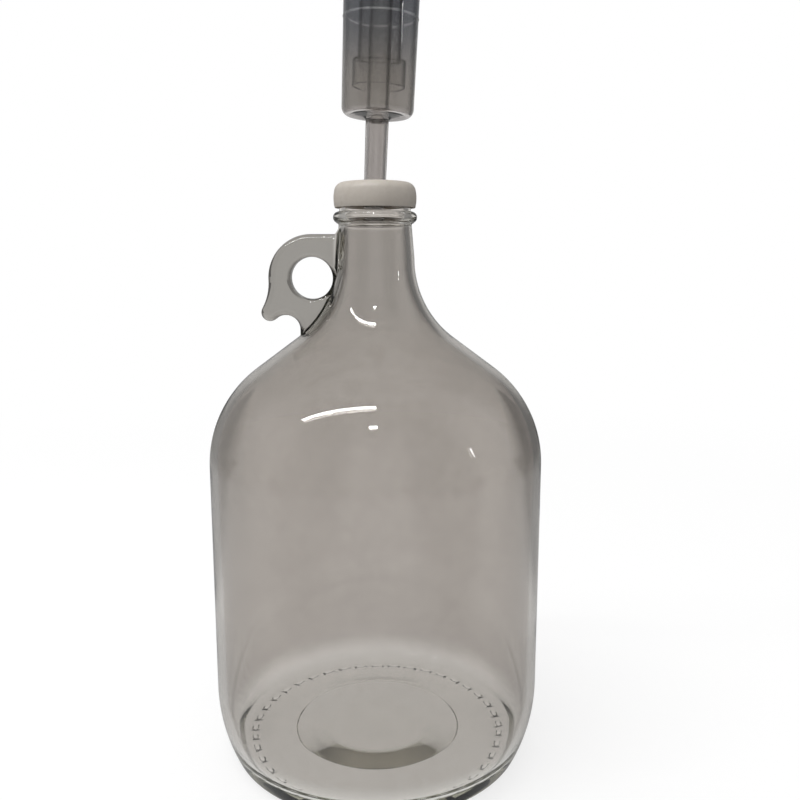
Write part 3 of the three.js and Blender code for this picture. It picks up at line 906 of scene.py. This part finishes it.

# Painted shade: the upper bowl is tinted darker towards the top, standing for a dark room behind it.
upper_bowl_painted_shade = (0.285, 0.292, 0.308)
upper_bowl_shade_zone = (20 * MM, 62 * MM)
rim_plastic = (0.52, 0.505, 0.49)
rim_zone = (8 * MM, 15 * MM)
# Painted highlight: a pale band at the fill line stands for the light its ridge catches from above.
fill_line_painted_highlight = (0.80, 0.80, 0.80)
fill_line_highlight_zone = (fill_line_round, 3 * fill_line_round)
clear_core = (0.97, 0.965, 0.955)
core_zone = (13 * MM, 15.5 * MM)
stem_plastic = (0.575, 0.55, 0.535)
half_stem = (bowl_foot - stem_tip) / 2
stem_zone = (half_stem + bowl_wall, half_stem + 3 * bowl_wall)
from_axis = (1, 1, 0)
axis_point = stand @ Vector((0, 0, 0))
rim_middle = stand @ Vector((0, 0, bowl_rim))
line_middle = stand @ Vector((0, 0, fill_line))
stem_middle = stand @ Vector((0, 0, (stem_tip + bowl_foot) / 2))
airlock_plastic = clear_material(
    "airlock_plastic",
    colours=[(0.495, 0.475, 0.455), (0.468, 0.449, 0.43)],
    zones=[
        (upper_bowl_painted_shade, [(rim_middle, lean, by_z, *upper_bowl_shade_zone)]),
        (rim_plastic, [(rim_middle, lean, by_z, *rim_zone)]),
        (fill_line_painted_highlight, [(line_middle, lean, by_z, *fill_line_highlight_zone)]),
        (clear_core, [(axis_point, lean, from_axis, *core_zone)]),
        (stem_plastic, [(stem_middle, lean, by_z, *stem_zone)]),
    ],
    refraction=1.49,
    cast=(0.3, 0.3, 0.27),
    density=18,
    patch_values={"Scale": 60, "Streaks": 300, "Low": 0.02, "High": 0.09},
    ripple_values={"Waves": 90, "Grain": 900, "Grain Share": 0.03},
    ripple_depth=0.08 * MM,
)
airlock.data.materials.append(airlock_plastic)
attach(airlock, "airlock")
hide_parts("airlock_body")

# Bubbler of the airlock
# An upturned cup of the same clear plastic with a wider skirt. It hangs over the riser, rests on top of it
# when the bowl is dry and floats up on the water when gas passes.
bubbler_gap = 0.2 * MM
bubbler_radius = 10.3 * MM
bubbler_depth = 43.8 * MM
bubbler_wall = 1.2 * MM
bubbler_round = 2 * MM
skirt_radius = 12.7 * MM
skirt_height = 12.2 * MM
skirt_round = 0.8 * MM
bubbler_steps = 7
bubbler_inner_steps = 4
skirt_steps = 5

under_top = riser_top + bubbler_gap
bubbler_top = under_top + bubbler_wall
bubbler_rim = under_top - bubbler_depth
skirt_top = bubbler_rim + skirt_height
under_skirt = skirt_top - bubbler_wall
inner_bubbler = bubbler_radius - bubbler_wall
inner_skirt = skirt_radius - bubbler_wall
inner_round = bubbler_round - bubbler_wall
bubbler_section = Section(0, under_top)
bubbler_section.line(inner_bubbler - inner_round, under_top)
bubbler_section.arc(inner_bubbler - inner_round, under_top - inner_round, -QUARTER, bubbler_inner_steps)
bubbler_section.line(inner_bubbler, under_skirt)
bubbler_section.line(inner_skirt, under_skirt)
bubbler_section.line(inner_skirt, bubbler_rim + rim_round)
bubbler_section.line(inner_skirt + rim_round, bubbler_rim)
bubbler_section.line(skirt_radius - rim_round, bubbler_rim)
bubbler_section.line(skirt_radius, bubbler_rim + rim_round)
bubbler_section.line(skirt_radius, skirt_top - skirt_round)
bubbler_section.arc(skirt_radius - skirt_round, skirt_top - skirt_round, QUARTER, skirt_steps)
bubbler_section.line(bubbler_radius, skirt_top)
bubbler_section.line(bubbler_radius, bubbler_top - bubbler_round)
bubbler_section.arc(bubbler_radius - bubbler_round, bubbler_top - bubbler_round, QUARTER, bubbler_steps)
bubbler_section.line(0, bubbler_top)
bubbler = piece_of("bubbler", standing(bubbler_section))
smoothed(bubbler, airlock_crease)
bubbler.data.materials.append(airlock_plastic)
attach(bubbler, "bubbler")
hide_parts("airlock_bubbler")

# Lid of the airlock
# A push-on lid of the same plastic over the bowl's rim, with a raised crown and a ring of small vents that
# let the gas out and keep dust from the water.
lid_gap = 0.2 * MM
lid_clearance = 0.3 * MM
lid_wall = 1.2 * MM
lid_thickness = 1.3 * MM
lid_skirt = 6 * MM
lid_round = 0.9 * MM
crown_radius = 12.5 * MM
crown_rise = 1.6 * MM
vent_count = 6
vent_radius = 1.1 * MM
vent_circle = 8 * MM
vent_depth = 6 * lid_thickness
vent_sides = 24
lid_steps = 6
lid_crease = 35

lid_seat = bowl_rim + lid_gap
lid_foot = bowl_rim - lid_skirt
lid_inner = bowl_rim_radius + lid_clearance
lid_outer = lid_inner + lid_wall
lid_shoulder = lid_seat + lid_thickness
under_crown = lid_seat + crown_rise
lid_section = Section(0, under_crown)
lid_section.line(crown_radius - crown_rise - lid_thickness, under_crown)
lid_section.line(crown_radius - lid_thickness, lid_seat)
lid_section.line(lid_inner, lid_seat)
lid_section.line(lid_inner, lid_foot + rim_round)
lid_section.line(lid_inner + rim_round, lid_foot)
lid_section.line(lid_outer - rim_round, lid_foot)
lid_section.line(lid_outer, lid_foot + rim_round)
lid_section.line(lid_outer, lid_shoulder - lid_round)
lid_section.arc(lid_outer - lid_round, lid_shoulder - lid_round, QUARTER, lid_steps)
lid_section.line(crown_radius, lid_shoulder)
lid_section.line(crown_radius - crown_rise, lid_shoulder + crown_rise)
lid_section.line(0, lid_shoulder + crown_rise)
lid = piece_of("lid", standing(lid_section))
vents = bmesh.new()
bmesh.ops.create_cone(
    vents,
    cap_ends=True,
    segments=vent_sides,
    radius1=vent_radius,
    radius2=vent_radius,
    depth=vent_depth,
)
bmesh.ops.translate(vents, vec=(vent_circle, 0, under_crown), verts=vents.verts[:])
ring_of(vents, vent_count)
bmesh.ops.transform(vents, matrix=stand, verts=vents.verts[:])
combine(lid, piece_of("vents", vents), "DIFFERENCE")
smoothed(lid, lid_crease)
lid.data.materials.clear()
lid.data.materials.append(airlock_plastic)
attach(lid, "lid")
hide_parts("airlock_lid")

# Floor
# A plain pale floor that keeps the jug's shadow and fades into an even white all round. Through the glass
# it is softly greyer in the room's corners and close by on either side, and in the gloss it is dimmer.
scene = bpy.context.scene
scene.view_settings.view_transform = "Standard"
scene.cycles.max_bounces = 32
scene.cycles.transmission_bounces = 32
scene.cycles.glossy_bounces = 12
floor_radius = 6
floor_sides = 128
floor_albedo = 0.25
floor_glow = 0.74
floor_even_from = 0.35
floor_even_to = 1.1
corner_left = 0.48
corner_right = 0.27
corner_spread = 0.25
floor_corner = (0.05, 0.15)
near_level = 0.56
near_from = 0.15
near_to = 0.30
gloss_level = 0.3
white = (1, 1, 1, 1)


def calculated(tree, operation, first, second):
    """A Math node on two sockets or numbers."""
    node = tree.nodes.new("ShaderNodeMath")
    node.operation = operation
    for socket, value in zip(node.inputs, (first, second)):
        if isinstance(value, bpy.types.NodeSocket):
            tree.links.new(value, socket)
        else:
            socket.default_value = value
    return node.outputs[0]


def faded(tree, value, start, end, before, after):
    """Goes from one level to another between two values, where a level is a socket or a number."""
    node = placed(tree, "ShaderNodeMapRange", From_Min=start, From_Max=end)
    tree.links.new(value, node.inputs["Value"])
    for socket, level in (("To Min", before), ("To Max", after)):
        if isinstance(level, bpy.types.NodeSocket):
            tree.links.new(level, node.inputs[socket])
        else:
            node.inputs[socket].default_value = level
    return node.outputs["Result"]


def axes_of(tree, place):
    """The three parts of a place or direction, by the letters of the axes."""
    parts = tree.nodes.new("ShaderNodeSeparateXYZ")
    tree.links.new(place, parts.inputs[0])
    return parts.outputs


def further_out(tree, axes, axis, other, start, end):
    """Goes from 0 to 1 as a place lies further out along one axis of the room than along the other."""
    out = calculated(tree, "ABSOLUTE", axes[axis], 0)
    aside = calculated(tree, "ABSOLUTE", axes[other], 0)
    lead = calculated(tree, "SUBTRACT", out, calculated(tree, "MULTIPLY", aside, corner_spread))
    return faded(tree, lead, start, end, 0, 1)


def room_corners(tree, axes, start, end):
    """1 along the room's axes, falling to a grey in its corners."""
    beside = further_out(tree, axes, "X", "Y", start, end)
    ahead = further_out(tree, axes, "Y", "X", start, end)
    level = faded(tree, axes["X"], -end, end, corner_left, corner_right)
    return faded(tree, calculated(tree, "MULTIPLY", beside, ahead), 0, 1, 1, level)


def seen_rays(tree, shade):
    """1 for rays from the camera, the shade for rays through glass, less off gloss and 0 for others."""
    path = tree.nodes.new("ShaderNodeLightPath").outputs
    dimmed = calculated(tree, "MULTIPLY", path["Is Glossy Ray"], gloss_level)
    through = calculated(tree, "MAXIMUM", dimmed, path["Is Transmission Ray"])
    by_glass = calculated(tree, "MULTIPLY", through, shade)
    return calculated(tree, "MAXIMUM", path["Is Camera Ray"], by_glass)


floor_mesh = bmesh.new()
bmesh.ops.create_circle(floor_mesh, cap_ends=True, segments=floor_sides, radius=floor_radius)
floor = piece_of("floor", floor_mesh)
floor_paper = new_material("floor_paper")
tree = floor_paper.node_tree
tree.nodes.remove(tree.nodes["Principled BSDF"])
paper = placed(tree, "ShaderNodeBsdfDiffuse", Color=(floor_albedo, floor_albedo, floor_albedo, 1))
glow = placed(tree, "ShaderNodeEmission", Color=white)
near = tree.nodes.new("ShaderNodeAddShader")
even = placed(tree, "ShaderNodeEmission", Color=white)
far = tree.nodes.new("ShaderNodeMixShader")
distance = tree.nodes.new("ShaderNodeVectorMath")
distance.operation = "LENGTH"
fade = placed(tree, "ShaderNodeMapRange", From_Min=floor_even_from, From_Max=floor_even_to)
fade.interpolation_type = "SMOOTHSTEP"
floor_place = tree.nodes.new("ShaderNodeTexCoord").outputs["Object"]
floor_axes = axes_of(tree, floor_place)
away_by = distance.outputs["Value"]
beside = further_out(tree, floor_axes, "X", "Y", *floor_corner)
near_shade = faded(tree, beside, 0, 1, 1, faded(tree, away_by, near_from, near_to, near_level, 1))
corner_shade = room_corners(tree, floor_axes, *floor_corner)
seen = seen_rays(tree, calculated(tree, "MINIMUM", corner_shade, near_shade))
link = tree.links.new
link(floor_place, distance.inputs[0])
link(away_by, fade.inputs["Value"])
link(calculated(tree, "MULTIPLY", seen, floor_glow), glow.inputs["Strength"])
link(seen, even.inputs["Strength"])
link(paper.outputs[0], near.inputs[0])
link(glow.outputs[0], near.inputs[1])
link(fade.outputs["Result"], far.inputs[0])
link(near.outputs[0], far.inputs[1])
link(even.outputs[0], far.inputs[2])
link(far.outputs[0], tree.nodes["Material Output"].inputs["Surface"])
floor.data.materials.append(floor_paper)

# Room
# A white room all round, which lights the jug more from the left than from the right. The camera sees it
# as even white, and the glass shows its greyer corners and ceiling, which draw the edges of the glass.
room_left = 1.15
room_right = 0.55
wall_corner = (0.0, 0.3)
ceiling_from = 0.5
ceiling_to = 0.85
ceiling_level = 0.5


def unseen_rays(tree):
    """1 for the rays that light the object and that neither the camera nor glass or gloss shows."""
    path = tree.nodes.new("ShaderNodeLightPath").outputs
    by_glass = calculated(tree, "MAXIMUM", path["Is Glossy Ray"], path["Is Transmission Ray"])
    return calculated(tree, "SUBTRACT", 1, calculated(tree, "MAXIMUM", path["Is Camera Ray"], by_glass))


room = bpy.data.worlds.new("room")
room.use_nodes = True
scene.world = room
tree = room.node_tree
backdrop = tree.nodes["Background"]
backdrop.inputs["Color"].default_value = white
room_axes = axes_of(tree, tree.nodes.new("ShaderNodeTexCoord").outputs["Generated"])
overhead = faded(tree, room_axes["Z"], ceiling_from, ceiling_to, 1, ceiling_level)
corner_shade = room_corners(tree, room_axes, *wall_corner)
seen = seen_rays(tree, calculated(tree, "MULTIPLY", corner_shade, overhead))
side_light = faded(tree, room_axes["X"], -1, 1, room_left, room_right)
room_light = calculated(tree, "MULTIPLY", unseen_rays(tree), side_light)
tree.links.new(calculated(tree, "ADD", seen, room_light), backdrop.inputs["Strength"])

# Lamps
# A long strip that hangs level on the left draws the bright streaks on the shoulder and neck. A small lamp
# in front draws the dots beside them, and a narrow panel on the right the short streaks there.
shoulder_aim = (0, -0.05, 0.19)


def lamp(name, place, aim, size, watts):
    """A rectangular lamp, placed and aimed in metres."""
    light = bpy.data.lights.new(name, "AREA")
    light.shape = "RECTANGLE"
    light.size = size[0]
    light.size_y = size[1]
    light.energy = watts
    holder = bpy.data.objects.new(name, light)
    scene.collection.objects.link(holder)
    holder.location = place
    holder.rotation_euler = (Vector(aim) - Vector(place)).to_track_quat("-Z", "Y").to_euler()


lamp("strip", place=(-0.57, -0.42, 1.39), aim=(-0.57, -0.42, 0), size=(1.14, 0.06), watts=8)
lamp("front_lamp", place=(-0.04, -0.95, 1.39), aim=shoulder_aim, size=(0.12, 0.05), watts=1.6)
lamp("right_panel", place=(1.8, -0.72, 0.75), aim=shoulder_aim, size=(0.02, 0.24), watts=0.55)

# Camera
# It stands close by, a little above the shoulder, and looks down at the jug as the photograph does. The top
# of the airlock and the front of the jug's foot run out of its view.
camera_place = (0, -0.4202, 0.2551)
camera_tilt_down = 9.73
camera_turn_right = 1.65
camera_sensor = 36
camera_lens = 38.03
camera = bpy.data.objects.new("camera", bpy.data.cameras.new("camera"))
scene.collection.objects.link(camera)
scene.camera = camera
camera.location = camera_place
camera.rotation_euler = (math.radians(QUARTER - camera_tilt_down), 0, math.radians(-camera_turn_right))
camera.data.sensor_width = camera_sensor
camera.data.lens = camera_lens
